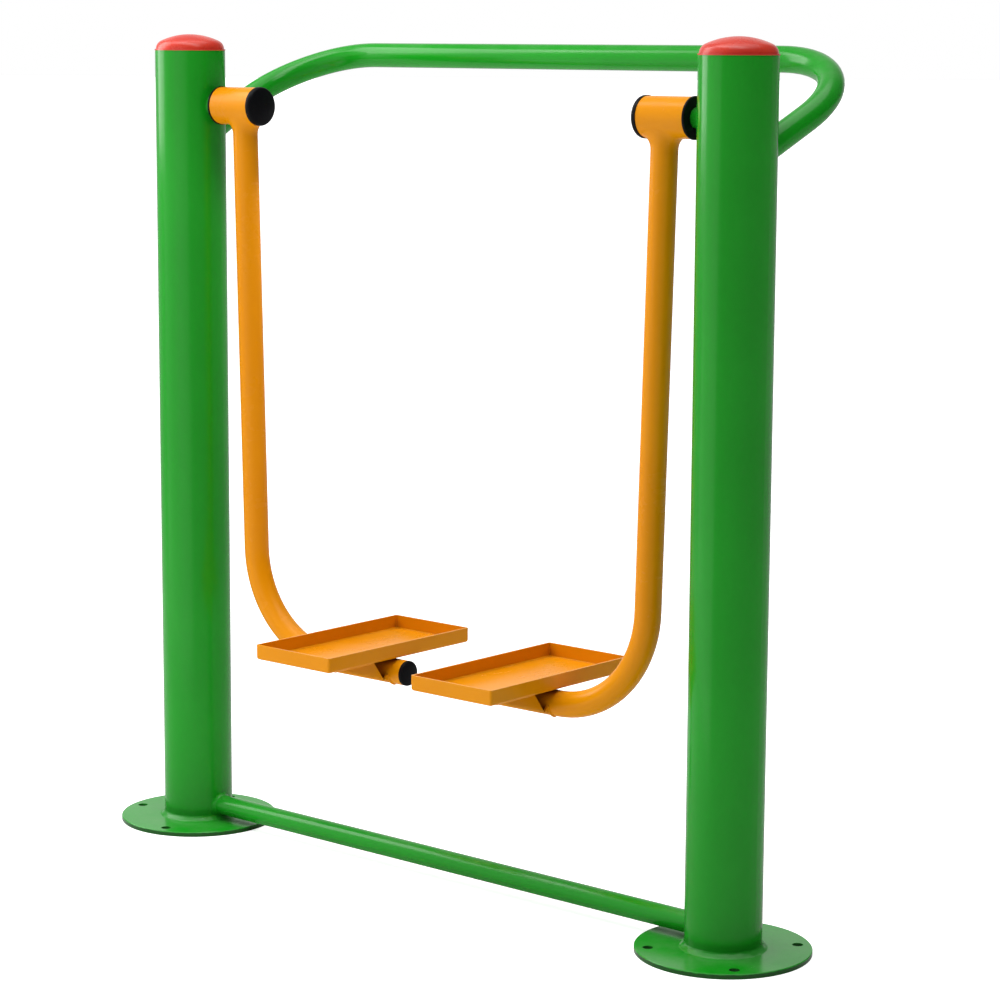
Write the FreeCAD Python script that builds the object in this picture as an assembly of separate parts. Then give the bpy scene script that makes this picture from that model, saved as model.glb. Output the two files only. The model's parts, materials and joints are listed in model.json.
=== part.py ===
import FreeCAD, Part
import math
import os

from FreeCAD import Vector

# Outdoor air walker: two posts, a handrail behind them and two swinging arms with pedals.
# Millimetres. X runs along the line of the posts, +Y is the handrail side, Z is up from the ground.

# Posts and what they stand on
post_d = 114.0
post_wall = 3.5
post_spacing = 1107.0
post_top_z = 1290.0
flange_d = 260.0
flange_t = 8.0
flange_edge = 1.0
anchor_circle_d = 220.0
anchor_hole_d = 16.0
anchor_count = 4
anchor_turn = {"right": 45.0, "left": 17.0}
drain_hole_d = 30.0
foot_weld_leg = 7.0

# Domed caps on the posts
cap_lip_d = 115.0
cap_lip = 2.0
cap_dome_d = 111.0
cap_dome_h = 24.0
cap_shoulder = 15.0
cap_wall = 3.0
cap_spigot_h = 26.0
cap_rib_count = 6
cap_rib_t = 2.5
cap_rib_depth = 9.0

# Tie bar between the feet of the posts
tie_d = 33.0
tie_wall = 2.5
tie_z = 31.3

# Handrail
rail_d = 40.0
rail_wall = 2.5
rail_below_top = 7.0
rail_reach = 296.0
rail_root_below_top = 159.0
rail_spread = 44.0
rail_bend_r = 158.0

# Hub, which is the bearing housing at the top of each arm
hub_below_top = 88.0
hub_d = 60.0
hub_len = 84.0
hub_bore_d = 43.0
hub_edge = 0.8
hub_to_post = 14.5
bearing_recess = 8.0

# Deep groove ball bearings, two in each hub
bearing_od = 47.0
bearing_bore_d = 20.0
bearing_w = 14.0
bearing_edge = 0.8
inner_race_d = 28.6
outer_race_bore_d = 38.8
ball_d = 7.9
ball_count = 8
cage_t = 2.2
cage_w = 9.6

# Stub axle with what is threaded on its end
axle_d = 30.0
axle_thread_d = 16.0
axle_end_past_nut = 2.5
axle_edge = 1.0
washer_d = 30.0
washer_t = 2.0
nut_across_flats = 24.0
nut_h = 12.0
nut_edge = 1.5

# Black plastic seal and end cap of the hub
trim_d = 62.0
trim_lip_t = 3.5
trim_spigot = 6.0
trim_spigot_wall = 2.5
trim_edge = 1.0
hub_cap_dome_h = 9.0
hub_cap_shoulder = 5.0
hub_cap_wall = 2.5

# Arm, a bent tube
arm_d = 40.0
arm_wall = 3.0
arm_offset = 9.5
arm_bend_r = 167.0
arm_overhang = 13.0
plug_lip_t = 3.0
plug_dome_h = 5.0
plug_shoulder = 3.0
plug_spigot = 16.0
plug_wall = 2.5

# Pedal, a folded tray on a folded bracket
pedal_spacing = 330.0
tray_w = 160.0
tray_l = 325.0
tray_h = 24.0
tray_rim_z = 368.0
tray_sheet = 3.0
tray_fold_r = 4.5
tray_corner_r = 3.5
bracket_inset = 9.0
bracket_sheet = 4.0
bracket_front = 18.0
bracket_fold_r = 5.0
bracket_window = 33.0
bracket_window_foot = 9.0
bracket_window_drop = 10.0

# Clearances
weld_gap = 0.1
fit_gap = 0.05
ball_gap = 0.06
seal_gap = 0.4
press_gap = 0.15
tray_to_arm = 3.0

# Places that follow from the sizes above
post_r = post_d / 2
post_x = post_spacing / 2
rail_z = post_top_z - rail_below_top
rail_root_z = post_top_z - rail_root_below_top
hub_axis_z = post_top_z - hub_below_top
post_y = (max(tray_l, flange_d) / 2 - rail_reach - rail_d / 2) / 2
axle_x = post_x - post_r
hub_outer_x = axle_x - hub_to_post - trim_lip_t
hub_inner_x = hub_outer_x - hub_len
tray_x = pedal_spacing / 2
tray_under_z = tray_rim_z - tray_h
arm_low_z = tray_under_z - tray_to_arm - arm_d / 2
arm_top_x = hub_inner_x + hub_len / 2 - arm_offset
arm_bend_x = tray_x + tray_w / 2 - tray_fold_r
arm_end_x = tray_x - tray_w / 2 - arm_overhang
outer_bearing_x = hub_outer_x - bearing_recess - bearing_w
inner_bearing_x = hub_inner_x + bearing_recess
ball_circle_r = (inner_race_d + outer_race_bore_d) / 4

x_axis = Vector(1, 0, 0)
y_axis = Vector(0, 1, 0)
z_axis = Vector(0, 0, 1)
hub_line = Vector(0, post_y, hub_axis_z)


def post_rod(side, radius, z_from, z_to):
    """Upright cylinder on the axis of one post."""
    return Part.makeCylinder(radius, z_to - z_from, Vector(side * post_x, post_y, z_from))


def hub_rod(radius, x_from, x_to):
    """Cylinder on the axis of the hub."""
    return Part.makeCylinder(radius, x_to - x_from, hub_line + x_axis * x_from, x_axis)


def turned(outline):
    """Solid of revolution about the hub's axis from points given as (x, radius)."""
    points = [hub_line + x_axis * x + z_axis * r for x, r in outline]
    return Part.Face(Part.makePolygon(points + points[:1])).revolve(hub_line, x_axis, 360)


def bent_path(corners, radius):
    """Wire along the corners with every inner corner rounded by an arc."""
    edges = []
    start = corners[0]
    for before, corner, after in zip(corners, corners[1:], corners[2:]):
        back = (before - corner).normalize()
        ahead = (after - corner).normalize()
        half = back.getAngle(ahead) / 2
        setback = radius / math.tan(half)
        bisector = (back + ahead).normalize()
        middle = corner + bisector * (radius / math.sin(half) - radius)
        arc = Part.Arc(corner + back * setback, middle, corner + ahead * setback)
        edges.append(Part.LineSegment(start, corner + back * setback).toShape())
        edges.append(arc.toShape())
        start = corner + ahead * setback
    edges.append(Part.LineSegment(start, corners[-1]).toShape())
    return Part.Wire(edges)


def tube_along(path, diameter, wall):
    """Round tube whose centre line is the path: a piece for each run and each bend, joined."""
    tube = None
    for edge in path.OrderedEdges:
        start = edge.valueAt(edge.FirstParameter)
        ahead = edge.tangentAt(edge.FirstParameter)
        rims = [Part.Wire(Part.Circle(start, ahead, r).toShape()) for r in (diameter / 2, diameter / 2 - wall)]
        section = Part.Face(rims[0]).cut(Part.Face(rims[1]))
        if edge.Curve.TypeId == "Part::GeomCircle":
            angle = math.degrees(edge.Length / edge.Curve.Radius)
            turn_axis = (start - edge.Curve.Center).cross(ahead)
            piece = section.revolve(edge.Curve.Center, turn_axis, angle)
        else:
            piece = section.extrude(ahead * edge.Length)
        tube = tube.fuse(piece) if tube else piece
    return tube.removeSplitter().Solids[0]


def edges_where(shape, test):
    """Edges whose bounding box passes the test."""
    return [edge for edge in shape.Edges if test(edge.BoundBox)]


def post(side):
    """Post tube, with the hole that the stub axle goes through."""
    tube = post_rod(side, post_r, flange_t, post_top_z)
    tube = tube.cut(post_rod(side, post_r - post_wall, flange_t, post_top_z))
    hole = Part.makeCylinder(axle_d / 2 + weld_gap, post_r, Vector(side * post_x, post_y, hub_axis_z),
                             x_axis * -side)
    return tube.cut(hole)


def base_flange(side, turn):
    """Foot plate with its anchor holes, drain hole and the weld round the post."""
    plate = post_rod(side, flange_d / 2, 0, flange_t)
    rims = edges_where(plate, lambda box: box.ZLength < flange_edge and box.XLength > post_d)
    plate = plate.makeChamfer(flange_edge, rims)
    plate = plate.cut(post_rod(side, drain_hole_d / 2, 0, flange_t))
    for index in range(anchor_count):
        angle = math.radians(turn + 360.0 * index / anchor_count)
        place = Vector(math.cos(angle), math.sin(angle), 0) * (anchor_circle_d / 2)
        hole = Part.makeCylinder(anchor_hole_d / 2, flange_t, place + Vector(side * post_x, post_y, 0))
        plate = plate.cut(hole)
    bead = Part.makeCone(post_r + foot_weld_leg, post_r, foot_weld_leg,
                         Vector(side * post_x, post_y, flange_t))
    bead = bead.cut(post_rod(side, post_r + weld_gap, flange_t, flange_t + foot_weld_leg))
    bead = bead.cut(tie_rod(tie_d / 2 + weld_gap))
    return plate.fuse(bead).removeSplitter()


def dome(foot, up, radius, height, shoulder):
    """Dome on a round foot: a shallow ball top that turns down over a rounded shoulder."""
    out = y_axis
    ball_r = ((radius - shoulder) ** 2 + height ** 2 - shoulder ** 2) / (2 * (height - shoulder))
    ball_centre = foot + up * (height - ball_r)
    shoulder_centre = foot + out * (radius - shoulder)
    outward = (shoulder_centre - ball_centre).normalize()
    join = ball_centre + outward * ball_r
    edge = foot + out * radius
    top = foot + up * height
    ball_middle = ball_centre + (outward + up).normalize() * ball_r
    shoulder_middle = shoulder_centre + (outward + out).normalize() * shoulder
    outline = [Part.makeLine(foot, edge), Part.Arc(edge, shoulder_middle, join).toShape(),
               Part.Arc(join, ball_middle, top).toShape(), Part.makeLine(top, foot)]
    return Part.Face(Part.Wire(outline)).revolve(foot, up, 360)


def post_cap(side):
    """Moulded cap: a dome with a lip on the post's rim and a ribbed spigot inside the post."""
    spigot_r = post_r - post_wall - press_gap
    bottom_z = post_top_z - cap_spigot_h
    seat = Vector(side * post_x, post_y, post_top_z)
    lip_top = seat + z_axis * cap_lip
    cap = Part.makeCylinder(cap_lip_d / 2, cap_lip, seat)
    cap = cap.fuse(dome(lip_top, z_axis, cap_dome_d / 2, cap_dome_h, cap_shoulder))
    cap = cap.fuse(post_rod(side, spigot_r, bottom_z, post_top_z))
    cap = cap.cut(post_rod(side, spigot_r - cap_wall, bottom_z, post_top_z + cap_lip))
    cap = cap.cut(dome(lip_top, z_axis, spigot_r - cap_wall, cap_dome_h - cap_wall, cap_shoulder - cap_wall))
    for index in range(cap_rib_count):
        rib = Part.makeBox(cap_rib_depth, cap_rib_t, cap_spigot_h,
                           Vector(spigot_r - cap_wall - cap_rib_depth, -cap_rib_t / 2, 0))
        rib.rotate(Vector(0, 0, 0), z_axis, 360.0 * index / cap_rib_count)
        rib.translate(seat - z_axis * cap_spigot_h)
        cap = cap.fuse(rib)
    return cap.removeSplitter()


def tie_rod(radius):
    """Cylinder from post axis to post axis on the tie bar's centre line."""
    return Part.makeCylinder(radius, post_spacing, Vector(-post_x, post_y, tie_z), x_axis)


def tie_bar():
    """Tie bar tube with its ends coped to the posts."""
    bar = tie_rod(tie_d / 2).cut(tie_rod(tie_d / 2 - tie_wall))
    for side in (1, -1):
        bar = bar.cut(post_rod(side, post_r + weld_gap, 0, post_top_z))
    return bar


def handrail():
    """Handrail bent from one tube, with its legs coped to the backs of the posts."""
    corners = [Vector(-post_x, post_y, rail_root_z),
               Vector(-post_x - rail_spread, post_y + rail_reach, rail_z),
               Vector(post_x + rail_spread, post_y + rail_reach, rail_z),
               Vector(post_x, post_y, rail_root_z)]
    rail = tube_along(bent_path(corners, rail_bend_r), rail_d, rail_wall)
    for side in (1, -1):
        rail = rail.cut(post_rod(side, post_r + weld_gap, 0, post_top_z))
    return rail


def stub_axle():
    """Turned axle, welded into the post and stepped down for the bearings and the nut."""
    root_x = post_x + math.sqrt((post_r - post_wall - weld_gap) ** 2 - (axle_d / 2) ** 2)
    shoulder_x = outer_bearing_x + bearing_w + fit_gap
    journal_x = inner_bearing_x - fit_gap
    tip_x = journal_x - washer_t - nut_h - axle_end_past_nut
    journal_r = bearing_bore_d / 2 - fit_gap
    thread_r = axle_thread_d / 2
    return turned([(root_x, 0), (root_x, axle_d / 2 - axle_edge), (root_x - axle_edge, axle_d / 2),
                   (shoulder_x + axle_edge, axle_d / 2), (shoulder_x, axle_d / 2 - axle_edge),
                   (shoulder_x, journal_r), (journal_x + axle_edge, journal_r),
                   (journal_x, journal_r - axle_edge), (journal_x, thread_r),
                   (tip_x + axle_edge, thread_r), (tip_x, thread_r - axle_edge), (tip_x, 0)])


def axle_spacer():
    """Sleeve on the axle that keeps the two inner races apart."""
    x_from = inner_bearing_x + bearing_w + fit_gap
    x_to = outer_bearing_x - fit_gap
    sleeve = hub_rod(inner_race_d / 2 - bearing_edge, x_from, x_to)
    return sleeve.cut(hub_rod(bearing_bore_d / 2 + fit_gap, x_from, x_to))


def axle_washer():
    """Washer between the nut and the inner race."""
    x_to = inner_bearing_x - fit_gap
    plate = hub_rod(washer_d / 2, x_to - washer_t, x_to)
    return plate.cut(hub_rod(axle_thread_d / 2 + fit_gap, x_to - washer_t, x_to))


def axle_nut():
    """Hexagon nut, chamfered on its outer face."""
    x_to = inner_bearing_x - washer_t - 2 * fit_gap
    x_from = x_to - nut_h
    corner_r = nut_across_flats / math.sqrt(3)
    corners = []
    for index in range(7):
        angle = math.radians(60 * index)
        corners.append(hub_line + x_axis * x_from + Vector(0, math.cos(angle), math.sin(angle)) * corner_r)
    nut = Part.Face(Part.makePolygon(corners)).extrude(x_axis * nut_h)
    crown = turned([(x_from, 0), (x_from, corner_r - nut_edge), (x_from + nut_edge, corner_r + fit_gap),
                    (x_to, corner_r + fit_gap), (x_to, 0)])
    return nut.common(crown).cut(hub_rod(axle_thread_d / 2 + fit_gap, x_from, x_to))


def race(x_from, inner_r, outer_r):
    """One bearing ring with chamfered rims and a round groove for the balls."""
    ring = hub_rod(outer_r, x_from, x_from + bearing_w)
    ring = ring.cut(hub_rod(inner_r, x_from, x_from + bearing_w))
    ring = ring.makeChamfer(bearing_edge, edges_where(ring, lambda box: box.XLength < bearing_edge))
    middle = hub_line + x_axis * (x_from + bearing_w / 2)
    return ring.cut(Part.makeTorus(ball_circle_r, ball_d / 2 + ball_gap, middle, x_axis))


def bearing_places():
    """Where the two bearings of a hub begin along its axis."""
    return (inner_bearing_x, outer_bearing_x)


def inner_races():
    rings = [race(x, bearing_bore_d / 2, inner_race_d / 2) for x in bearing_places()]
    return Part.makeCompound(rings)


def outer_races():
    rings = [race(x, outer_race_bore_d / 2, bearing_od / 2 - fit_gap) for x in bearing_places()]
    return Part.makeCompound(rings)


def ball_centres(x_from):
    """Centres of the balls of the bearing that begins at x_from."""
    middle = hub_line + x_axis * (x_from + bearing_w / 2)
    angles = [2 * math.pi * index / ball_count for index in range(ball_count)]
    return [middle + Vector(0, math.cos(angle), math.sin(angle)) * ball_circle_r for angle in angles]


def bearing_balls():
    centres = [centre for x in bearing_places() for centre in ball_centres(x)]
    return Part.makeCompound([Part.makeSphere(ball_d / 2, centre) for centre in centres])


def bearing_cages():
    """Ball cages: a ring between the races with a round pocket for each ball."""
    cages = []
    for x in bearing_places():
        x_from = x + (bearing_w - cage_w) / 2
        cage = hub_rod(ball_circle_r + cage_t / 2, x_from, x_from + cage_w)
        cage = cage.cut(hub_rod(ball_circle_r - cage_t / 2, x_from, x_from + cage_w))
        for centre in ball_centres(x):
            cage = cage.cut(Part.makeSphere(ball_d / 2 + ball_gap, centre))
        cages.append(cage)
    return Part.makeCompound(cages)


def hub():
    """Bearing housing, bored at both ends for the bearings with a shoulder behind each."""
    body = hub_rod(hub_d / 2, hub_inner_x, hub_outer_x)
    rims = edges_where(body, lambda box: box.XLength < hub_edge and box.ZLength > hub_bore_d)
    body = body.makeChamfer(hub_edge, rims)
    body = body.cut(hub_rod(hub_bore_d / 2, hub_inner_x, hub_outer_x))
    body = body.cut(hub_rod(bearing_od / 2, hub_inner_x, inner_bearing_x + bearing_w + fit_gap))
    return body.cut(hub_rod(bearing_od / 2, outer_bearing_x - fit_gap, hub_outer_x))


def dust_seal():
    """Seal ring on the post side of the hub, with its bore running round the axle."""
    bore_r = axle_d / 2 + seal_gap
    spigot_r = bearing_od / 2 - press_gap
    face_x = hub_outer_x + fit_gap
    out_x = face_x + trim_lip_t - fit_gap
    ring = turned([(hub_outer_x - trim_spigot, bore_r), (hub_outer_x - trim_spigot, spigot_r - trim_edge),
                   (hub_outer_x - trim_spigot + trim_edge, spigot_r), (face_x, spigot_r),
                   (face_x, trim_d / 2), (out_x - trim_edge, trim_d / 2), (out_x, trim_d / 2 - trim_edge),
                   (out_x, bore_r)])
    relief = hub_rod(spigot_r - trim_spigot_wall, hub_outer_x - trim_spigot, hub_outer_x)
    relief = relief.cut(hub_rod(bore_r + trim_spigot_wall, hub_outer_x - trim_spigot, hub_outer_x))
    return ring.cut(relief)


def plastic_cap(face_x, lip_d, lip, dome_h, shoulder, wall, spigot_d, spigot_len):
    """Hollow domed cap with its dome towards -X and its spigot in a bore that begins at face_x."""
    spigot_r = spigot_d / 2 - press_gap
    seat_x = face_x - fit_gap
    lip_face = hub_line + x_axis * (face_x - lip)
    cap = hub_rod(lip_d / 2, face_x - lip, seat_x)
    cap = cap.fuse(dome(lip_face, -x_axis, lip_d / 2, dome_h, shoulder))
    cap = cap.fuse(hub_rod(spigot_r, seat_x, seat_x + spigot_len))
    cap = cap.cut(hub_rod(spigot_r - wall, face_x - lip, seat_x + spigot_len))
    cap = cap.cut(dome(lip_face, -x_axis, spigot_r - wall, dome_h - wall, shoulder - wall / 2))
    return cap.removeSplitter()


def hub_cap():
    return plastic_cap(hub_inner_x, trim_d, trim_lip_t, hub_cap_dome_h, hub_cap_shoulder, hub_cap_wall,
                       bearing_od, trim_spigot)


def arm_path():
    """Centre line of the arm: down from the hub, tangent to the bend, then in under the tray."""
    top = Vector(arm_top_x, post_y, hub_axis_z)
    centre = Vector(arm_bend_x, post_y, arm_low_z + arm_bend_r)
    away = top - centre
    distance = away.Length
    turn = math.acos(arm_bend_r / distance)
    lean = math.atan2(away.z, away.x) - turn
    touch = centre + Vector(math.cos(lean), 0, math.sin(lean)) * arm_bend_r
    bottom = centre - z_axis * arm_bend_r
    middle = centre + ((touch - centre) + (bottom - centre)).normalize() * arm_bend_r
    end = Vector(arm_end_x, post_y, arm_low_z)
    return Part.Wire([Part.LineSegment(top, touch).toShape(), Part.Arc(touch, middle, bottom).toShape(),
                      Part.LineSegment(bottom, end).toShape()])


def arm_tube():
    """Bent arm with its top coped to the hub."""
    tube = tube_along(arm_path(), arm_d, arm_wall)
    return tube.cut(hub_rod(hub_d / 2 + weld_gap, hub_inner_x, hub_outer_x))


def tube_plug():
    """Black plug in the open end of the arm."""
    plug = plastic_cap(arm_end_x, arm_d, plug_lip_t, plug_dome_h, plug_shoulder, plug_wall,
                       arm_d - 2 * arm_wall, plug_spigot)
    plug.translate(Vector(0, 0, arm_low_z - hub_axis_z))
    return plug


def pedal_tray():
    """Tray folded from sheet, open at the top, with rounded folds and corners."""
    def pan(inset, bottom):
        width = tray_w - 2 * inset
        length = tray_l - 2 * inset
        corner = max(tray_corner_r - inset, tray_corner_r / 4)
        fold = max(tray_fold_r - inset, tray_fold_r / 4)
        block = Part.makeBox(width, length, tray_rim_z - bottom,
                             Vector(tray_x - width / 2, post_y - length / 2, bottom))
        uprights = edges_where(block, lambda box: box.ZLength > tray_h / 2)
        block = block.makeFillet(corner, uprights)
        folds = edges_where(block, lambda box: box.ZMax < bottom + fold / 2)
        return block.makeFillet(fold, folds)

    return pan(0, tray_under_z).cut(pan(tray_sheet, tray_under_z + tray_sheet))


def side_view(points):
    """Polygon in the plane across X from points given as (y from the tube, z)."""
    corners = [Vector(0, post_y + y, z) for y, z in points]
    return Part.Face(Part.makePolygon(corners + corners[:1]))


def pedal_bracket():
    """Folded channel: its sole slopes from the front of the tray to the underside of the tube."""
    top_z = tray_under_z - weld_gap
    tube_r = arm_d / 2 + weld_gap
    front_y = bracket_front - tray_l / 2
    width = tray_w - 2 * bracket_inset
    reach = math.hypot(front_y, top_z - arm_low_z)
    slope = math.asin(tube_r / reach) + math.atan2(top_z - arm_low_z, -front_y)
    touch = (-tube_r * math.sin(slope), arm_low_z - tube_r * math.cos(slope))
    tube_side = (-tube_r, arm_low_z)
    window_low = (-tube_r - bracket_window_foot, arm_low_z - bracket_window_drop)
    window_top = (-tube_r - bracket_window, top_z)
    side = side_view([(front_y, top_z), touch, (0, arm_low_z), tube_side, window_low, window_top])
    channel = side.extrude(x_axis * width)
    folds = edges_where(channel, lambda box: box.XLength < 1 and box.YLength > tray_l / 4
                        and box.ZMin < arm_low_z and box.ZLength > weld_gap)
    channel = channel.makeFillet(bracket_fold_r, folds)
    lift = bracket_sheet / math.cos(slope)
    pocket_end_z = top_z - (-front_y) * math.tan(slope) + lift
    pocket_front_y = front_y + lift / math.tan(slope)
    pocket = side_view([(pocket_front_y, top_z), (0, pocket_end_z), (0, top_z)])
    pocket = pocket.extrude(x_axis * (width - 2 * bracket_sheet))
    pocket.translate(x_axis * bracket_sheet)
    channel = channel.cut(pocket)
    channel.translate(x_axis * (tray_x - width / 2))
    tube = Part.makeCylinder(tube_r, tray_w * 2, Vector(arm_end_x, post_y, arm_low_z), x_axis)
    return channel.cut(tube)


def mirrored(shape):
    """The same piece on the left side."""
    return shape.mirror(Vector(0, 0, 0), x_axis)


def save(name, shape):
    shape.exportStep("parts/" + name + ".step")


def main():
    os.makedirs("parts", exist_ok=True)
    save("tie_bar", tie_bar())
    save("handrail", handrail())
    for name, side in (("right", 1), ("left", -1)):
        save(name + "_post", post(side))
        save(name + "_base_flange", base_flange(side, anchor_turn[name]))
        save(name + "_post_cap", post_cap(side))
    makers = {
        "stub_axle": stub_axle, "inner_races": inner_races, "axle_spacer": axle_spacer,
        "axle_washer": axle_washer, "axle_nut": axle_nut, "hub": hub, "outer_races": outer_races,
        "bearing_balls": bearing_balls, "bearing_cages": bearing_cages, "dust_seal": dust_seal,
        "hub_cap": hub_cap, "arm_tube": arm_tube, "tube_plug": tube_plug,
        "pedal_tray": pedal_tray, "pedal_bracket": pedal_bracket,
    }
    for name, make in makers.items():
        shape = make()
        save("right_" + name, shape)
        save("left_" + name, mirrored(shape))


main()
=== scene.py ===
# Outdoor air walker, dressed and lit for its studio picture
import json
import math

import bmesh
import bpy
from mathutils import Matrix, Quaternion, Vector, noise


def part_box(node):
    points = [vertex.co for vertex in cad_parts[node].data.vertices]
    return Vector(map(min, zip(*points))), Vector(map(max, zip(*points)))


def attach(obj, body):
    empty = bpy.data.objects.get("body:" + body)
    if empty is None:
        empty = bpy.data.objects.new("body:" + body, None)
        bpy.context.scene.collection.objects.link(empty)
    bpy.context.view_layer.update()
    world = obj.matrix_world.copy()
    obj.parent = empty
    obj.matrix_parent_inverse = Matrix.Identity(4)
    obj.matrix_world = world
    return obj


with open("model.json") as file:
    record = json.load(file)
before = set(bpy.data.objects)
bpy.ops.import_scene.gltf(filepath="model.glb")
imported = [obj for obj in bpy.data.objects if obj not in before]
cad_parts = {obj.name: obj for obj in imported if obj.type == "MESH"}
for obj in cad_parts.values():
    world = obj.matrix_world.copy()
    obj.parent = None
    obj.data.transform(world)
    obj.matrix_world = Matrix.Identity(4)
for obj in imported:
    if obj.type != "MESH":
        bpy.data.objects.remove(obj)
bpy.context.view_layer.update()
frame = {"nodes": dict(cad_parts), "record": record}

nodes = frame["nodes"]
sides = {"left": -1, "right": 1}
xAxis = Vector((1, 0, 0))
yAxis = Vector((0, 1, 0))
zAxis = Vector((0, 0, 1))

# camera
picture = {
    "place": (2.9461, -3.35265, 1.3078),
    "yaw": 40.78,       # degrees to the left of +Y
    "pitch": 9.05,      # degrees down
    "roll": -0.30,
    "lens": 103.77,
    "farthest": 100,
}


def addCamera():
    yaw, pitch, roll = (math.radians(picture[key]) for key in ("yaw", "pitch", "roll"))
    level = math.cos(pitch)
    ahead = Vector((-math.sin(yaw) * level, math.cos(yaw) * level, -math.sin(pitch)))
    data = bpy.data.cameras.new("pictureCamera")
    data.lens = picture["lens"]
    data.clip_end = picture["farthest"]
    cam = bpy.data.objects.new("pictureCamera", data)
    cam.rotation_mode = "QUATERNION"
    cam.rotation_quaternion = ahead.to_track_quat("-Z", "Y") @ Quaternion((0, 0, 1), -roll)
    cam.location = picture["place"]
    bpy.context.scene.collection.objects.link(cam)
    bpy.context.scene.camera = cam


addCamera()
print("camera is up")

# sizes read from the frame


def middleOf(name):
    low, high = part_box(name)
    return (low + high) / 2


def spanOf(name):
    low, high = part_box(name)
    return high - low


postRadius = spanOf("right_post").x / 2
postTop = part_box("right_post")[1].z
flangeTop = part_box("right_post")[0].z
hubCentre = middleOf("right_hub")
hubRadius = spanOf("right_hub").z / 2
tieRadius = spanOf("tie_bar").z / 2
tieHeight = middleOf("tie_bar").z
railRadius = 0.020      # the handrail bends, so its box doesn't give it
armRadius = spanOf("right_tube_plug").z / 2

# node groups that the finishes share


def newGroup(name, inputs, outputs):
    group = bpy.data.node_groups.new(name, "ShaderNodeTree")
    for title, kind, value in inputs:
        socket = group.interface.new_socket(name=title, in_out="INPUT", socket_type=kind)
        socket.default_value = value
    for title, kind in outputs:
        group.interface.new_socket(name=title, in_out="OUTPUT", socket_type=kind)
    return group, group.nodes.new("NodeGroupInput"), group.nodes.new("NodeGroupOutput")


def addNode(tree, kind, **settings):
    node = tree.nodes.new(kind)
    for key, value in settings.items():
        setattr(node, key, value)
    return node


def calc(tree, operation, first, second=None, third=None):
    # one Math node; numbers are typed in, sockets are wired
    node = addNode(tree, "ShaderNodeMath", operation=operation)
    for index, value in enumerate((first, second, third)):
        if isinstance(value, (int, float)):
            node.inputs[index].default_value = value
        elif value is not None:
            tree.links.new(value, node.inputs[index])
    return node.outputs[0]


def noiseAt(tree, scale, detail, roughness):
    # noise in the piece's own coordinates, so that it swings with the arm
    where = addNode(tree, "ShaderNodeTexCoord")
    grain = addNode(tree, "ShaderNodeTexNoise")
    grain.inputs["Detail"].default_value = detail
    grain.inputs["Roughness"].default_value = roughness
    tree.links.new(where.outputs["Object"], grain.inputs["Vector"])
    if isinstance(scale, (int, float)):
        grain.inputs["Scale"].default_value = scale
    else:
        tree.links.new(scale, grain.inputs["Scale"])
    return grain.outputs["Fac"]


def ramp(tree, value, low, high):
    # 0 at low, 1 at high and smooth in between; low may be the larger of the two
    node = addNode(tree, "ShaderNodeMapRange", interpolation_type="SMOOTHSTEP")
    tree.links.new(value, node.inputs["Value"])
    for title, limit in (("From Min", low), ("From Max", high)):
        if isinstance(limit, (int, float)):
            node.inputs[title].default_value = limit
        else:
            tree.links.new(limit, node.inputs[title])
    return node.outputs["Result"]


def patchesOf(tree, look, scale=None):
    # noise sharpened into patches; its scale is the look's own, or a socket
    grain = noiseAt(tree, look["scale"] if scale is None else scale, look["detail"], look["roughness"])
    return ramp(tree, grain, *look["limits"])


peelLook = {
    "detail": 2.0,
    "broadRoughness": 0.45,
    "fineRoughness": 0.5,
    "fineScale": 3.1,       # times the broad one
    "fineShare": 0.12,
}


def makeOrangePeel():
    # soft ripple of a sprayed and baked coat
    tree, given, out = newGroup("orangePeel", [("Scale", "NodeSocketFloat", 260.0)],
                                [("Height", "NodeSocketFloat")])
    broad = noiseAt(tree, given.outputs["Scale"], peelLook["detail"], peelLook["broadRoughness"])
    fineScale = calc(tree, "MULTIPLY", given.outputs["Scale"], peelLook["fineScale"])
    fine = noiseAt(tree, fineScale, peelLook["detail"], peelLook["fineRoughness"])
    mixed = calc(tree, "MULTIPLY_ADD", fine, peelLook["fineShare"], broad)
    tree.links.new(mixed, out.inputs["Height"])
    return tree


edgeLook = {
    "samples": 4,
    "turn": (0.02, 0.2),    # how far the softened normal leans away, where the edge mark starts and where it is full
    "patches": {"scale": 70.0, "detail": 4.0, "roughness": 0.65, "limits": (0.42, 0.62)},
}


def makeEdgeMask():
    # how near a sharp edge is, broken up by noise
    tree, given, out = newGroup("edgeMask", [("Reach", "NodeSocketFloat", 0.002),
                                             ("Breakup", "NodeSocketFloat", 0.5)],
                                [("Mask", "NodeSocketFloat")])
    softened = addNode(tree, "ShaderNodeBevel", samples=edgeLook["samples"])
    tree.links.new(given.outputs["Reach"], softened.inputs["Radius"])
    facing = addNode(tree, "ShaderNodeNewGeometry")
    match = addNode(tree, "ShaderNodeVectorMath", operation="DOT_PRODUCT")
    tree.links.new(softened.outputs["Normal"], match.inputs[0])
    tree.links.new(facing.outputs["Normal"], match.inputs[1])
    away = calc(tree, "SUBTRACT", 1.0, match.outputs["Value"])
    edge = ramp(tree, away, *edgeLook["turn"])
    patches = patchesOf(tree, edgeLook["patches"])
    kept = calc(tree, "SUBTRACT", 1.0, calc(tree, "MULTIPLY", given.outputs["Breakup"], patches))
    tree.links.new(calc(tree, "MULTIPLY", edge, kept), out.inputs["Mask"])
    return tree


dustLook = {
    "upward": (0.35, 1.0),      # Z of the normal, where dust starts to lie and where it is full
    "patches": {"detail": 5.0, "roughness": 0.6, "limits": (0.35, 0.7)},
    "specks": {"scale": 900.0, "detail": 2.0, "roughness": 0.6, "limits": (0.55, 0.75)},
    "speckShare": 0.5,
}


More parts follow.
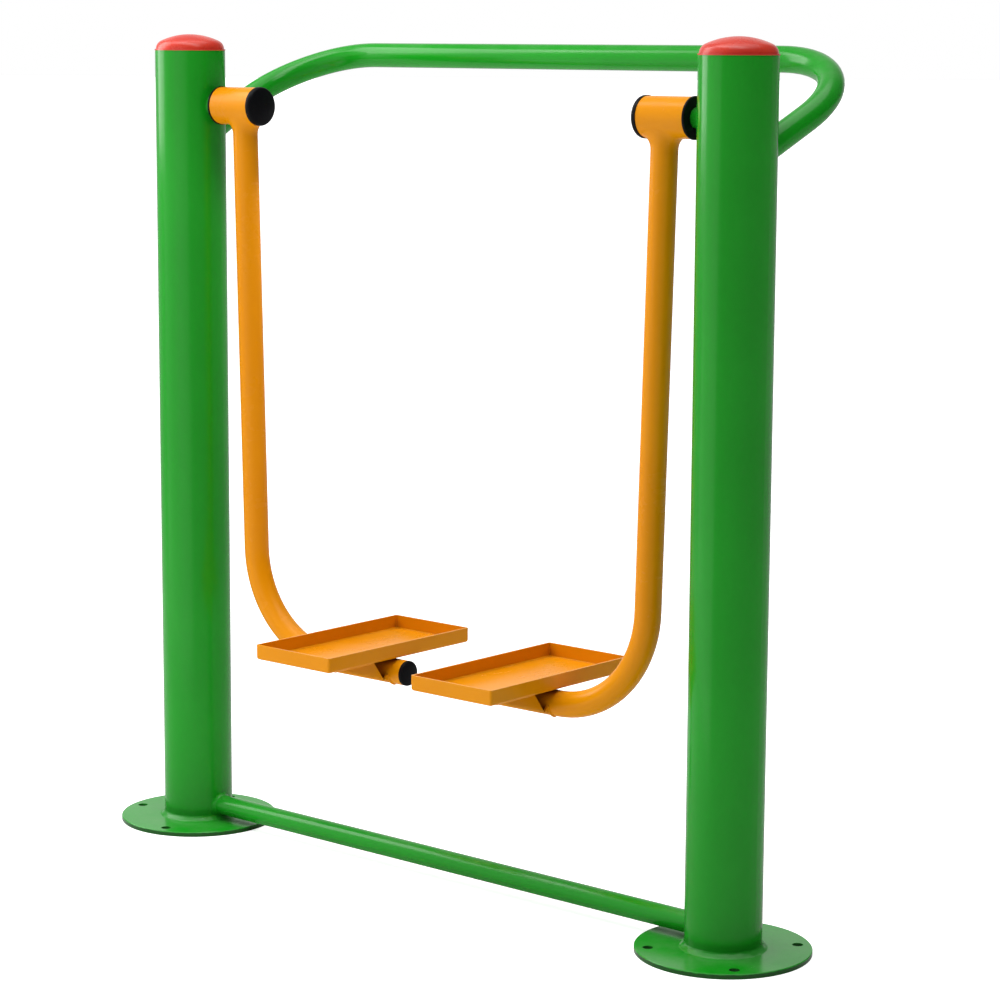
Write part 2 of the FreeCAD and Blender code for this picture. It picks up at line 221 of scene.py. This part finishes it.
def makeDustMask():
    # thin dust that settles on what faces up
    tree, given, out = newGroup("dustMask", [("Amount", "NodeSocketFloat", 0.3),
                                             ("Patch Scale", "NodeSocketFloat", 14.0)],
                                [("Mask", "NodeSocketFloat")])
    where = addNode(tree, "ShaderNodeTexCoord")
    parts = addNode(tree, "ShaderNodeSeparateXYZ")
    tree.links.new(where.outputs["Normal"], parts.inputs[0])
    upward = ramp(tree, parts.outputs["Z"], *dustLook["upward"])
    patches = patchesOf(tree, dustLook["patches"], given.outputs["Patch Scale"])
    specks = patchesOf(tree, dustLook["specks"])
    grainy = calc(tree, "MULTIPLY_ADD", specks, dustLook["speckShare"], patches)
    mask = calc(tree, "MULTIPLY", calc(tree, "MULTIPLY", upward, grainy), given.outputs["Amount"])
    tree.links.new(mask, out.inputs["Mask"])
    return tree


driftLook = {
    "slow": {"detail": 3.0, "roughness": 0.5, "limits": (0.3, 0.7)},
    "fine": {"detail": 4.0, "roughness": 0.6},
    "fineScale": 22.0,      # times the slow one
    "fineShare": 0.35,
}


def makeToneDrift():
    # slow change of tone over a large surface, with a fine mottle in it
    tree, given, out = newGroup("toneDrift", [("Color", "NodeSocketColor", (0.5, 0.5, 0.5, 1)),
                                              ("Deep", "NodeSocketColor", (0.4, 0.4, 0.4, 1)),
                                              ("Scale", "NodeSocketFloat", 5.0)],
                                [("Color", "NodeSocketColor"), ("Mottle", "NodeSocketFloat")])
    slow = patchesOf(tree, driftLook["slow"], given.outputs["Scale"])
    fineScale = calc(tree, "MULTIPLY", given.outputs["Scale"], driftLook["fineScale"])
    fine = noiseAt(tree, fineScale, **driftLook["fine"])
    share = driftLook["fineShare"]
    both = calc(tree, "MULTIPLY_ADD", fine, share, calc(tree, "MULTIPLY", slow, 1 - share))
    blend = addNode(tree, "ShaderNodeMix", data_type="RGBA")
    tree.links.new(both, blend.inputs["Factor"])
    tree.links.new(given.outputs["Color"], blend.inputs["A"])
    tree.links.new(given.outputs["Deep"], blend.inputs["B"])
    tree.links.new(blend.outputs["Result"], out.inputs["Color"])
    tree.links.new(both, out.inputs["Mottle"])
    return tree


rubLook = {"detail": 4.0, "roughness": 0.6, "limits": (0.56, 0.7)}


def makeRubMarks():
    # short rubbed streaks, as shoes and hands leave
    tree, given, out = newGroup("rubMarks", [("Stretch", "NodeSocketVector", (1.0, 6.0, 1.0)),
                                             ("Scale", "NodeSocketFloat", 40.0)],
                                [("Mask", "NodeSocketFloat")])
    where = addNode(tree, "ShaderNodeTexCoord")
    pull = addNode(tree, "ShaderNodeVectorMath", operation="DIVIDE")
    tree.links.new(where.outputs["Object"], pull.inputs[0])
    tree.links.new(given.outputs["Stretch"], pull.inputs[1])
    grain = addNode(tree, "ShaderNodeTexNoise")
    grain.inputs["Detail"].default_value = rubLook["detail"]
    grain.inputs["Roughness"].default_value = rubLook["roughness"]
    tree.links.new(pull.outputs[0], grain.inputs["Vector"])
    tree.links.new(given.outputs["Scale"], grain.inputs["Scale"])
    tree.links.new(ramp(tree, grain.outputs["Fac"], *rubLook["limits"]), out.inputs["Mask"])
    return tree


lowShadeLook = {
    "upright": (0.9, 0.3),      # Z of the normal, from flat to upright
    "wander": {"scale": 120.0, "detail": 4.0, "roughness": 0.6},
    "wanderHeight": 0.006,
    "bandFade": 1.25,           # where the band ends, as a share of its height
}


def makeGroundShade():
    # darker low down: painted shade with thin paint on upright rims next to the ground, and a band of
    # painted shade above them
    tree, given, out = newGroup("groundShade", [("Edge Height", "NodeSocketFloat", 0.0065),
                                                ("Band Height", "NodeSocketFloat", 0.026)],
                                [("Edge", "NodeSocketFloat"), ("Band", "NodeSocketFloat")])
    where = addNode(tree, "ShaderNodeTexCoord")
    spot = addNode(tree, "ShaderNodeSeparateXYZ")
    tree.links.new(where.outputs["Object"], spot.inputs[0])
    facing = addNode(tree, "ShaderNodeSeparateXYZ")
    tree.links.new(where.outputs["Normal"], facing.inputs[0])
    upright = ramp(tree, calc(tree, "ABSOLUTE", facing.outputs["Z"]), *lowShadeLook["upright"])
    wander = lowShadeLook["wanderHeight"]
    ragged = calc(tree, "MULTIPLY_ADD", noiseAt(tree, **lowShadeLook["wander"]), wander, spot.outputs["Z"])
    low = calc(tree, "LESS_THAN", ragged, calc(tree, "ADD", given.outputs["Edge Height"], wander / 2))
    tree.links.new(calc(tree, "MULTIPLY", upright, low), out.inputs["Edge"])
    bandEnd = calc(tree, "MULTIPLY", given.outputs["Band Height"], lowShadeLook["bandFade"])
    fade = ramp(tree, ragged, bandEnd, given.outputs["Band Height"])
    tree.links.new(calc(tree, "MULTIPLY", upright, fade), out.inputs["Band"])
    return tree


cornerLook = {
    "samples": 16,
    "shelter": (0.60, 0.05),    # share of open sky, where the painted shade starts and where it is full
    "patches": {"scale": 60.0, "detail": 4.0, "roughness": 0.6, "limits": (0.30, 0.60)},
    "patchShare": 0.4,
}


def makeCornerShade():
    # painted shade in tight corners and recesses, with some dirt, thinned here and there by noise
    tree, given, out = newGroup("cornerGrime", [("Reach", "NodeSocketFloat", 0.03),
                                                ("Amount", "NodeSocketFloat", 0.5)],
                                [("Mask", "NodeSocketFloat")])
    shelter = addNode(tree, "ShaderNodeAmbientOcclusion", samples=cornerLook["samples"])
    tree.links.new(given.outputs["Reach"], shelter.inputs["Distance"])
    tight = ramp(tree, shelter.outputs["AO"], *cornerLook["shelter"])
    patches = patchesOf(tree, cornerLook["patches"])
    share = calc(tree, "MULTIPLY_ADD", patches, cornerLook["patchShare"], 1 - cornerLook["patchShare"])
    mask = calc(tree, "MULTIPLY", calc(tree, "MULTIPLY", tight, share), given.outputs["Amount"])
    tree.links.new(mask, out.inputs["Mask"])
    return tree


orangePeel = makeOrangePeel()
edgeMask = makeEdgeMask()
dustMask = makeDustMask()
toneDrift = makeToneDrift()
rubMarks = makeRubMarks()
groundShade = makeGroundShade()
cornerGrime = makeCornerShade()
print("shared node groups made:", len(bpy.data.node_groups))

# finishes


def newFinish(name):
    finish = bpy.data.materials.new(name)
    finish.use_nodes = True
    shader = finish.node_tree.nodes["Principled BSDF"]
    return finish, finish.node_tree, shader


def place(tree, group, **values):
    # a shared group with this finish's own values
    node = addNode(tree, "ShaderNodeGroup", node_tree=group)
    for title, value in values.items():
        node.inputs[title.replace("_", " ")].default_value = value
    return node


def mixColour(tree, factor, first, second):
    node = addNode(tree, "ShaderNodeMix", data_type="RGBA")
    tree.links.new(factor, node.inputs["Factor"])
    for value, title in ((first, "A"), (second, "B")):
        if isinstance(value, tuple):
            node.inputs[title].default_value = (*value, 1)
        else:
            tree.links.new(value, node.inputs[title])
    return node.outputs["Result"]


def bumpOf(tree, shader, height, strength, distance):
    bump = addNode(tree, "ShaderNodeBump")
    bump.inputs["Strength"].default_value = strength
    bump.inputs["Distance"].default_value = distance
    tree.links.new(height, bump.inputs["Height"])
    tree.links.new(bump.outputs["Normal"], shader.inputs["Normal"])


greenCoat = {
    "colour": (0.009, 0.310, 0.013),
    "deep": (0.006, 0.265, 0.009),
    # lighter edges: wear of a thinner coat and a painted highlight along rims
    "edge": (0.060, 0.400, 0.070),
    "dust": (0.30, 0.34, 0.27),
    "edgeReach": 0.0016,
    "edgeBreakup": 0.55,
    "edgeAmount": 0.40,
    "dustAmount": 0.10,
    "roughness": (0.14, 0.24),
    "peelScale": 210.0,
    "peelDepth": 0.00008,
    "gloss": 0.28,
    # colour of the painted shade low down, and of the thin paint on low upright rims
    "lowShade": (0.006, 0.045, 0.006),
    "rimShadeAndWear": 0.80,
    "bandShade": 0.28,
    # colour of the painted shade in corners and recesses, with some dirt
    "corner": (0.008, 0.060, 0.010),
    "cornerAmount": 0.30,
    "cornerDull": 2.0,
}

yellowCoat = {
    "colour": (0.750, 0.280, 0.002),
    "deep": (0.700, 0.240, 0.001),
    # lighter edges: wear of a thinner coat and a painted highlight along rims
    "edge": (0.900, 0.480, 0.080),
    "dust": (0.62, 0.38, 0.12),
    "edgeReach": 0.0014,
    "edgeBreakup": 0.60,
    "edgeAmount": 0.40,
    "dustAmount": 0.07,
    "roughness": (0.20, 0.30),
    "peelScale": 240.0,
    "peelDepth": 0.00010,
    "gloss": 0.13,
    "lowShade": (0.200, 0.080, 0.010),
    "rimShadeAndWear": 0.0,
    "bandShade": 0.0,
    # colour of the painted shade in corners and recesses, dark maroon, with some dirt
    "corner": (0.130, 0.028, 0.004),
    "cornerAmount": 0.85,
    "cornerDull": 0.3,
}

coatLook = {
    "toneScale": 4.0,
    "rubScale": 55.0,
    "rubDull": 0.03,
    "dustDull": 0.4,
    "bump": 0.5,
}


def makeCoat(name, coat):
    finish, tree, shader = newFinish(name)
    tone = place(tree, toneDrift, Color=(*coat["colour"], 1), Deep=(*coat["deep"], 1),
                 Scale=coatLook["toneScale"])
    edge = place(tree, edgeMask, Reach=coat["edgeReach"], Breakup=coat["edgeBreakup"])
    dust = place(tree, dustMask, Amount=coat["dustAmount"])
    rubs = place(tree, rubMarks, Scale=coatLook["rubScale"])
    lowShade = place(tree, groundShade)
    corner = place(tree, cornerGrime, Amount=coat["cornerAmount"])
    layers = (
        # lighter edges: wear of a thinner coat and painted highlight
        (calc(tree, "MULTIPLY", edge.outputs["Mask"], coat["edgeAmount"]), coat["edge"]),
        (dust.outputs["Mask"], coat["dust"]),
        # painted shade: a darker band above the foot, and darker low rims where the paint is also thin
        (calc(tree, "MULTIPLY", lowShade.outputs["Band"], coat["bandShade"]), coat["lowShade"]),
        (calc(tree, "MULTIPLY", lowShade.outputs["Edge"], coat["rimShadeAndWear"]), coat["lowShade"]),
        # painted shade in tight corners, with some dirt
        (corner.outputs["Mask"], coat["corner"]),
    )
    colour = tone.outputs["Color"]
    for mask, layer in layers:
        colour = mixColour(tree, mask, colour, layer)
    tree.links.new(colour, shader.inputs["Base Color"])
    smooth, dull = coat["roughness"]
    shine = calc(tree, "MULTIPLY_ADD", tone.outputs["Mottle"], dull - smooth, smooth)
    dulled = ((rubs, coatLook["rubDull"]), (dust, coatLook["dustDull"]), (corner, coat["cornerDull"]))
    for marks, dulling in dulled:
        shine = calc(tree, "MULTIPLY_ADD", marks.outputs["Mask"], dulling, shine)
    tree.links.new(shine, shader.inputs["Roughness"])
    peel = place(tree, orangePeel, Scale=coat["peelScale"])
    bumpOf(tree, shader, peel.outputs["Height"], coatLook["bump"], coat["peelDepth"])
    shader.inputs["Specular IOR Level"].default_value = coat["gloss"]
    return finish


redCap = {
    "colour": (0.640, 0.048, 0.024),
    "deep": (0.530, 0.026, 0.015),
    "faded": (0.620, 0.080, 0.060),
    "roughness": (0.22, 0.34),
    "gloss": 0.35,
}

blackTrim = {
    "colour": (0.006, 0.006, 0.008),
    "deep": (0.003, 0.003, 0.004),
    "faded": (0.030, 0.030, 0.032),
    "roughness": (0.26, 0.44),
    "gloss": 0.07,
}

plasticLook = {
    "toneScale": 18.0,
    "edgeReach": 0.0012,
    "edgeBreakup": 0.4,
    "edgeAmount": 0.35,
    "dustAmount": 0.10,
    "dustScale": 40.0,
    "grainScale": 900.0,    # fine texture of the mould
    "grainDepth": 0.00006,
    "bump": 0.35,
}


def makePlastic(name, plastic):
    finish, tree, shader = newFinish(name)
    tone = place(tree, toneDrift, Color=(*plastic["colour"], 1), Deep=(*plastic["deep"], 1),
                 Scale=plasticLook["toneScale"])
    edge = place(tree, edgeMask, Reach=plasticLook["edgeReach"], Breakup=plasticLook["edgeBreakup"])
    dust = place(tree, dustMask, Amount=plasticLook["dustAmount"], Patch_Scale=plasticLook["dustScale"])
    worn = calc(tree, "MULTIPLY", edge.outputs["Mask"], plasticLook["edgeAmount"])
    colour = mixColour(tree, worn, tone.outputs["Color"], plastic["faded"])
    colour = mixColour(tree, dust.outputs["Mask"], colour, plastic["faded"])
    tree.links.new(colour, shader.inputs["Base Color"])
    smooth, dull = plastic["roughness"]
    shine = calc(tree, "MULTIPLY_ADD", tone.outputs["Mottle"], dull - smooth, smooth)
    tree.links.new(shine, shader.inputs["Roughness"])
    grain = place(tree, orangePeel, Scale=plasticLook["grainScale"])
    bumpOf(tree, shader, grain.outputs["Height"], plasticLook["bump"], plasticLook["grainDepth"])
    shader.inputs["Specular IOR Level"].default_value = plastic["gloss"]
    return finish


bareMetals = {
    "bearing_steel": {"colour": (0.58, 0.58, 0.59), "deep": (0.50, 0.50, 0.52), "roughness": (0.16, 0.28)},
    "cage_steel": {"colour": (0.50, 0.48, 0.44), "deep": (0.42, 0.40, 0.37), "roughness": (0.30, 0.42)},
    "zinc_steel": {"colour": (0.62, 0.63, 0.66), "deep": (0.50, 0.51, 0.55), "roughness": (0.26, 0.42)},
}

metalLook = {
    "toneScale": 30.0,
    "lineScale": 400.0,
    "lineStretch": (1.0, 12.0, 12.0),
    "lineDepth": 0.00003,
    "bump": 0.2,
}


def makeMetal(name, metal):
    finish, tree, shader = newFinish(name)
    tone = place(tree, toneDrift, Color=(*metal["colour"], 1), Deep=(*metal["deep"], 1),
                 Scale=metalLook["toneScale"])
    tree.links.new(tone.outputs["Color"], shader.inputs["Base Color"])
    smooth, dull = metal["roughness"]
    shine = calc(tree, "MULTIPLY_ADD", tone.outputs["Mottle"], dull - smooth, smooth)
    tree.links.new(shine, shader.inputs["Roughness"])
    lines = place(tree, rubMarks, Scale=metalLook["lineScale"], Stretch=metalLook["lineStretch"])
    bumpOf(tree, shader, lines.outputs["Mask"], metalLook["bump"], metalLook["lineDepth"])
    shader.inputs["Metallic"].default_value = 1.0
    return finish


finishes = {
    "green_paint": makeCoat("greenPaint", greenCoat),
    "yellow_paint": makeCoat("yellowPaint", yellowCoat),
    "red_plastic": makePlastic("redPlastic", redCap),
    "black_plastic": makePlastic("blackPlastic", blackTrim),
}
for slotName, metal in bareMetals.items():
    finishes[slotName] = makeMetal(slotName, metal)

for part in frame["record"]["subparts"]:
    for slot in nodes[part["node"]].material_slots:
        slot.material = finishes[part["material_slot"]]
print("finishes on", len(nodes), "frame nodes")

# weld beads
weldBead = {
    "pitch": 0.0030,        # length of one ripple
    "perRipple": 4,
    "fewest": 8,            # points on the shortest line
    "wander": 90,           # how quickly its size wanders along it
    "round": 12,
    "roundRipple": 0.1,
    "endSize": 0.15,
    "endGrowth": 0.6,       # for each ripple away from the end
    "faceSteps": 8,
    "overlap": 0.15,        # how deep its root sits in the two parts, as a share of its legs
    "rodSteps": 180,
    "footSteps": 240,
}

# painted over as one with its neighbours, so no lighter edge along its borders, neither wear nor painted
# highlight
weldFinishes = {
    "green_paint": makeCoat("greenWeld", {**greenCoat, "edgeAmount": 0.0}),
    "yellow_paint": makeCoat("yellowWeld", {**yellowCoat, "edgeAmount": 0.0}),
}


def evenly(points, closed):
    # the same line with its points at even steps, a few to each ripple
    line = points + points[:1] if closed else points
    runs = [(b - a).length for a, b in zip(line, line[1:])]
    total = sum(runs)
    count = max(weldBead["fewest"], round(total / weldBead["pitch"]) * weldBead["perRipple"])
    wanted = [total * index / count for index in range(count if closed else count + 1)]
    spaced = []
    travelled = 0.0
    run = 0
    for distance in wanted:
        while run < len(runs) - 1 and travelled + runs[run] < distance:
            travelled += runs[run]
            run += 1
        share = (distance - travelled) / runs[run]
        spaced.append(line[run].lerp(line[run + 1], share))
    return spaced


def rippleAt(index, point, ripple):
    # size of the bead here, from its share of ripple and as much of wander
    phase = 2 * math.pi * index / weldBead["perRipple"]
    return 1 - ripple * (0.5 + 0.5 * math.cos(phase)) + ripple * noise.noise(point * weldBead["wander"])


def addWeld(name, rings, closed, creases, body, slotName):
    # skin over the rings of points, creased along the numbered lines
    mesh = bmesh.new()
    loops = [[mesh.verts.new(point) for point in ring] for ring in rings]
    pairs = list(zip(loops, loops[1:])) + ([(loops[-1], loops[0])] if closed else [])
    for first, second in pairs:
        for step in range(len(first)):
            ahead = (step + 1) % len(first)
            mesh.faces.new((first[step], first[ahead], second[ahead], second[step]))
        for step in creases:
            mesh.edges.get((first[step], second[step])).smooth = False
    if not closed:
        mesh.faces.new(list(reversed(loops[0])))
        mesh.faces.new(loops[-1])
    bmesh.ops.recalc_face_normals(mesh, faces=mesh.faces)
    for face in mesh.faces:
        face.smooth = True
    data = bpy.data.meshes.new(name)
    mesh.to_mesh(data)
    mesh.free()
    data.materials.append(weldFinishes[slotName])
    weld = bpy.data.objects.new(name, data)
    bpy.context.scene.collection.objects.link(weld)
    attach(weld, body)


def addBead(name, points, radius, outward, body, slotName):
    # a round rippled bead along an open line, thinner at its ends
    line = evenly(points, False)
    last = len(line) - 1
    rings = []
    for index, point in enumerate(line):
        tangent = (line[min(index + 1, last)] - line[max(index - 1, 0)]).normalized()
        out = (outward - tangent * outward.dot(tangent)).normalized()
        side = tangent.cross(out)
        fromEnd = min(index, last - index) / weldBead["perRipple"]
        taper = math.sqrt(min(1.0, weldBead["endSize"] + fromEnd * weldBead["endGrowth"]))
        size = rippleAt(index, point, weldBead["roundRipple"]) * taper * radius
        angles = [2 * math.pi * step / weldBead["round"] for step in range(weldBead["round"])]
        rings.append([point + (out * math.cos(a) + side * math.sin(a)) * size for a in angles])
    addWeld(name, rings, False, (), body, slotName)


def addFillet(name, points, away, landingAt, weld, body, slotName):
    # a fillet round a closed line: one leg runs away along the rod, the other lands on the part it meets
    rings = []
    for index, point in enumerate(evenly(points, True)):
        size = rippleAt(index, point, weld["ripple"])
        first = away * weld["legs"][0] * size
        second = landingAt(point, weld["legs"][1] * size) - point
        ring = [point - (first + second) * weldBead["overlap"]]
        for step in range(weldBead["faceSteps"] + 1):
            share = step / weldBead["faceSteps"]
            turn = math.pi / 2 * share
            straight = first * (1 - share) + second * share
            hollow = first * (1 - math.sin(turn)) + second * (1 - math.cos(turn))
            ring.append(point + straight.lerp(hollow, weld["hollow"]))
        rings.append(ring)
    addWeld(name, rings, True, (1, weldBead["faceSteps"] + 1), body, slotName)


def addRodWeld(name, rod, drum, weld, body, slotName):
    # fillet where the skin of a round rod, followed along, first meets a round drum
    start, along, rodRadius = rod
    centre, axis, drumRadius = drum
    along = along.normalized()
    side = along.orthogonal().normalized()
    other = along.cross(side)
    points = []
    for index in range(weldBead["rodSteps"]):
        angle = 2 * math.pi * index / weldBead["rodSteps"]
        spot = start + (side * math.cos(angle) + other * math.sin(angle)) * rodRadius
        flatSpot = (spot - centre) - axis * (spot - centre).dot(axis)
        flatAlong = along - axis * along.dot(axis)
        a = flatAlong.length_squared
        b = flatAlong.dot(flatSpot)
        c = flatSpot.length_squared - drumRadius ** 2
        reach = (-b - math.sqrt(b * b - a * c)) / a
        points.append(spot + along * reach)

    def fromAxis(point):
        return (point - centre) - axis * (point - centre).dot(axis)

    def landingAt(point, leg):
        out = (point - start) - along * (point - start).dot(along)
        face = fromAxis(point).normalized()
        beside = point + (out - face * out.dot(face)).normalized() * leg
        return beside - fromAxis(beside).normalized() * (fromAxis(beside).length - drumRadius)

    addFillet(name, points, -along, landingAt, weld, body, slotName)


footWeld = {"legs": (0.0085, 0.0085), "ripple": 0.10, "hollow": 0.4}
tieWeld = {"legs": (0.0045, 0.0045), "ripple": 0.10, "hollow": 0.3}
railWeld = {"legs": (0.0050, 0.0050), "ripple": 0.10, "hollow": 0.3,
            "spread": 0.044, "reach": 0.296, "rise": 0.152, "rootBelowTop": 0.159}
axleWeld = {"legs": (0.0035, 0.0035), "ripple": 0.10, "hollow": 0.3, "axleRadius": 0.015}


def hubOn(side):
    return Vector((side * hubCentre.x, hubCentre.y, hubCentre.z))


def weldFrame(name, side):
    post = middleOf(name + "_post")
    foot = Vector((post.x, post.y, flangeTop))
    ring = []
    for index in range(weldBead["footSteps"]):
        angle = 2 * math.pi * index / weldBead["footSteps"]
        ring.append(foot + (xAxis * math.cos(angle) + yAxis * math.sin(angle)) * postRadius)

    def outwardFrom(point, leg):
        return point + (point - foot).normalized() * leg

    addFillet(name + "_foot_weld", ring, zAxis, outwardFrom, footWeld, "frame", "green_paint")

    drum = (post, zAxis, postRadius)
    bar = (Vector((0, post.y, tieHeight)), xAxis * side, tieRadius)
    addRodWeld(name + "_tie_weld", bar, drum, tieWeld, "frame", "green_paint")

    root = Vector((post.x, post.y, postTop - railWeld["rootBelowTop"]))
    leg = Vector((side * railWeld["spread"], railWeld["reach"], railWeld["rise"]))
    addRodWeld(name + "_rail_weld", (root + leg, -leg, railRadius), drum, railWeld, "frame", "green_paint")

    axle = (hubOn(side), xAxis * side, axleWeld["axleRadius"])
    addRodWeld(name + "_axle_weld", axle, drum, axleWeld, "frame", "green_paint")


armWeld = {"legs": (0.0190, 0.0130), "ripple": 0.02, "hollow": 1.0,
           "offset": 0.0095, "bendRadius": 0.167, "foldRadius": 0.0045}
trayWeld = {
    "radius": 0.0022,
    "window": 0.0531,       # from the tube's axis forward to where the web's top ends
    "below": 0.0008,
    "webInset": 0.002,
    "frontInset": 0.004,
    "arcFrom": 184,         # degrees round the tube, 180 being its front
    "arcTurn": 84,
    "arcSteps": 24,
}


def armDirection():
    # from the hub's axis down to where the straight run is tangent to the bend
    low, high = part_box("right_arm_tube")
    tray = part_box("right_pedal_tray")[1]
    top = Vector((hubCentre.x - armWeld["offset"], hubCentre.y, hubCentre.z))
    bend = Vector((tray.x - armWeld["foldRadius"], top.y, low.z + armRadius + armWeld["bendRadius"]))
    away = top - bend
    lean = math.atan2(away.z, away.x) - math.acos(armWeld["bendRadius"] / away.length)
    touch = bend + Vector((math.cos(lean), 0, math.sin(lean))) * armWeld["bendRadius"]
    return top, touch - top


def weldArm(name, side):
    body = name + "_arm"
    top, down = armDirection()
    top.x *= side
    down.x *= side
    hub = (hubOn(side), xAxis, hubRadius)
    addRodWeld(name + "_hub_weld", (top + down, -down, armRadius), hub, armWeld, body, "yellow_paint")

    low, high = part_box(name + "_pedal_bracket")
    webBack = hubCentre.y - trayWeld["window"]
    under = high.z - trayWeld["below"]
    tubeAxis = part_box(name + "_arm_tube")[0].z + armRadius
    radius = trayWeld["radius"]
    for label, x, out in (("inner", low.x, -xAxis), ("outer", high.x, xAxis)):
        run = [Vector((x, low.y + trayWeld["webInset"], under)), Vector((x, webBack, under))]
        addBead(name + "_" + label + "_web_weld", run, radius, out, body, "yellow_paint")
        arc = []
        for index in range(trayWeld["arcSteps"] + 1):
            angle = math.radians(trayWeld["arcFrom"] + trayWeld["arcTurn"] * index / trayWeld["arcSteps"])
            ahead, up = armRadius * math.cos(angle), armRadius * math.sin(angle)
            arc.append(Vector((x, hubCentre.y + ahead, tubeAxis + up)))
        addBead(name + "_" + label + "_tube_weld", arc, radius, out, body, "yellow_paint")
    inset = trayWeld["frontInset"]
    front = [Vector((low.x + inset, low.y, under)), Vector((high.x - inset, low.y, under))]
    addBead(name + "_front_weld", front, radius, -yAxis, body, "yellow_paint")


for name, side in sides.items():
    weldFrame(name, side)
    weldArm(name, side)
print("weld beads laid")

# floor, light and surroundings
studio = {
    "floorSize": 600.0,
    "floorColour": (0.93, 0.93, 0.93),
    "floorShade": 0.985,                    # darkest of its grain
    "floorGrain": {"scale": 300.0, "detail": 3.0, "roughness": 0.5},
    "floorRoughness": 0.8,
    "floorMirrored": (0.55, 0.55, 0.55),    # as the paint mirrors it
    "brightSide": (-0.82, -0.30, 0.48),     # where most of the room's light comes from
    "brightest": 0.34,
    "darkest": 0.0,
    "standingPaper": 0.55,                  # white paper behind the machine, as its paint mirrors it
    "standingEdge": (0.72, 0.95),           # cosines from straight behind, where it starts and is full
    "backdrop": 1.0,                        # what the camera sees behind
    "paperLift": 0.70,                      # keeps the paper white for the camera alone
}

# mirrored False gives light but isn't seen in the paint, lighting False is the other way round
lamps = {
    "keyBox": {"kind": "AREA", "place": (-2.2, -0.8, 2.0), "target": (-0.2, 0.0, 0.7),
               "size": (1.4, 2.2), "power": 43},
    "frontBox": {"kind": "AREA", "place": (-0.45, -1.8, 1.0), "target": (-0.45, 0.0, 0.9),
                 "size": (0.8, 1.6), "power": 8.5, "mirrored": False},
    "pedalBox": {"kind": "AREA", "place": (0.0, 0.10, 1.05), "target": (0.0, -0.08, 0.35),
                 "size": (0.8, 0.3), "power": 1.6, "mirrored": False},
    "stripBox": {"kind": "AREA", "place": (0.0, -0.35, 2.25), "target": (0.0, -0.02, 1.2),
                 "size": (2.0, 0.4), "power": 9},
    "sideCard": {"kind": "AREA", "place": (-1.09, -1.30, 1.2), "target": (-1.09, 0.0, 1.2),
                 "size": (2.8, 2.4), "power": 14, "lighting": False},
    "ceiling": {"kind": "SUN", "place": (0.0, 0.0, 4.0), "target": (0.0, 0.0, 0.0),
                "spread": 70, "power": 1.8},
}


def addFloor():
    mesh = bmesh.new()
    bmesh.ops.create_grid(mesh, x_segments=1, y_segments=1, size=studio["floorSize"] / 2)
    data = bpy.data.meshes.new("studioFloor")
    mesh.to_mesh(data)
    mesh.free()
    finish, tree, shader = newFinish("floorPaper")
    grain = noiseAt(tree, **studio["floorGrain"])
    shaded = tuple(value * studio["floorShade"] for value in studio["floorColour"])
    paper = mixColour(tree, grain, studio["floorColour"], shaded)
    shader.inputs["Roughness"].default_value = studio["floorRoughness"]
    shader.inputs["Emission Color"].default_value = (1, 1, 1, 1)
    rays = addNode(tree, "ShaderNodeLightPath")
    tree.links.new(mixColour(tree, rays.outputs["Is Glossy Ray"], paper, studio["floorMirrored"]),
                   shader.inputs["Base Color"])
    lift = calc(tree, "MULTIPLY", rays.outputs["Is Camera Ray"], studio["paperLift"])
    tree.links.new(lift, shader.inputs["Emission Strength"])
    data.materials.append(finish)
    floor = bpy.data.objects.new("studioFloor", data)
    bpy.context.scene.collection.objects.link(floor)


def addLamp(name, lamp):
    data = bpy.data.lights.new(name, lamp["kind"])
    data.energy = lamp["power"]
    if lamp["kind"] == "AREA":
        data.shape = "RECTANGLE"
        data.size, data.size_y = lamp["size"]
    else:
        data.angle = math.radians(lamp["spread"])
    light = bpy.data.objects.new(name, data)
    light.visible_camera = False
    light.visible_glossy = lamp.get("mirrored", True)
    light.visible_diffuse = lamp.get("lighting", True)
    light.location = lamp["place"]
    aim = Vector(lamp["target"]) - Vector(lamp["place"])
    light.rotation_mode = "QUATERNION"
    light.rotation_quaternion = aim.to_track_quat("-Z", "Y")
    bpy.context.scene.collection.objects.link(light)


def addSurroundings():
    world = bpy.data.worlds.new("whiteRoom")
    world.use_nodes = True
    tree = world.node_tree
    back = tree.nodes["Background"]
    back.inputs["Color"].default_value = (1, 1, 1, 1)
    where = addNode(tree, "ShaderNodeTexCoord")
    facing = addNode(tree, "ShaderNodeVectorMath", operation="DOT_PRODUCT")
    tree.links.new(where.outputs["Generated"], facing.inputs[0])
    facing.inputs[1].default_value = Vector(studio["brightSide"]).normalized()
    light = addNode(tree, "ShaderNodeMapRange")
    tree.links.new(facing.outputs["Value"], light.inputs["Value"])
    light.inputs["From Min"].default_value = -1.0
    light.inputs["To Min"].default_value = studio["darkest"]
    light.inputs["To Max"].default_value = studio["brightest"]
    yaw = math.radians(picture["yaw"])
    behind = addNode(tree, "ShaderNodeVectorMath", operation="DOT_PRODUCT")
    tree.links.new(where.outputs["Generated"], behind.inputs[0])
    behind.inputs[1].default_value = (-math.sin(yaw), math.cos(yaw), 0)
    standing = ramp(tree, behind.outputs["Value"], *studio["standingEdge"])
    paper = calc(tree, "MULTIPLY", standing, studio["standingPaper"])
    rays = addNode(tree, "ShaderNodeLightPath")
    seen = addNode(tree, "ShaderNodeMix")
    tree.links.new(rays.outputs["Is Camera Ray"], seen.inputs["Factor"])
    tree.links.new(calc(tree, "ADD", light.outputs["Result"], paper), seen.inputs["A"])
    seen.inputs["B"].default_value = studio["backdrop"]
    tree.links.new(seen.outputs["Result"], back.inputs["Strength"])
    bpy.context.scene.world = world
    bpy.context.scene.view_settings.view_transform = "Standard"


addFloor()
for name, lamp in lamps.items():
    addLamp(name, lamp)
addSurroundings()
print("floor and lights set")
